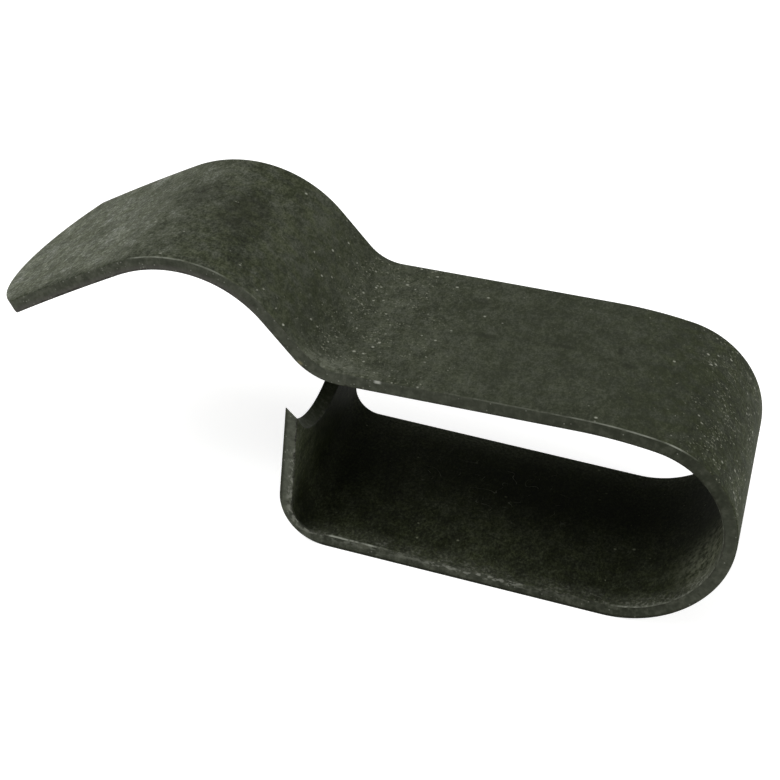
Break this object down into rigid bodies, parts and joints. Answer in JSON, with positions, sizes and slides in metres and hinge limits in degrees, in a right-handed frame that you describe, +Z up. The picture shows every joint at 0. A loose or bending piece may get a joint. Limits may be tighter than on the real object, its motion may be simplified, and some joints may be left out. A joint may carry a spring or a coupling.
{
  "type": "spring clip",
  "caption": "Bent flat strip spring clip: a loop whose notched end wall faces the top leaf across a narrow mouth, with a curved tail that is lifted to open it.",
  "frame": {"origin": "centre of the flat underside of the base, on the strip's centre line", "axes": "+X from the tail to the round nose, +Y across the strip, +Z up from the base"},
  "size_m": [0.0654, 0.02, 0.0243],
  "materials": {
    "spring_steel": "dull grey-green to black oxide with an oiled film, finely scuffed, paler along worn edges"
  },
  "bodies": {
    "root": {"spring_clip": "spring_steel"}
  },
  "joints": []
}
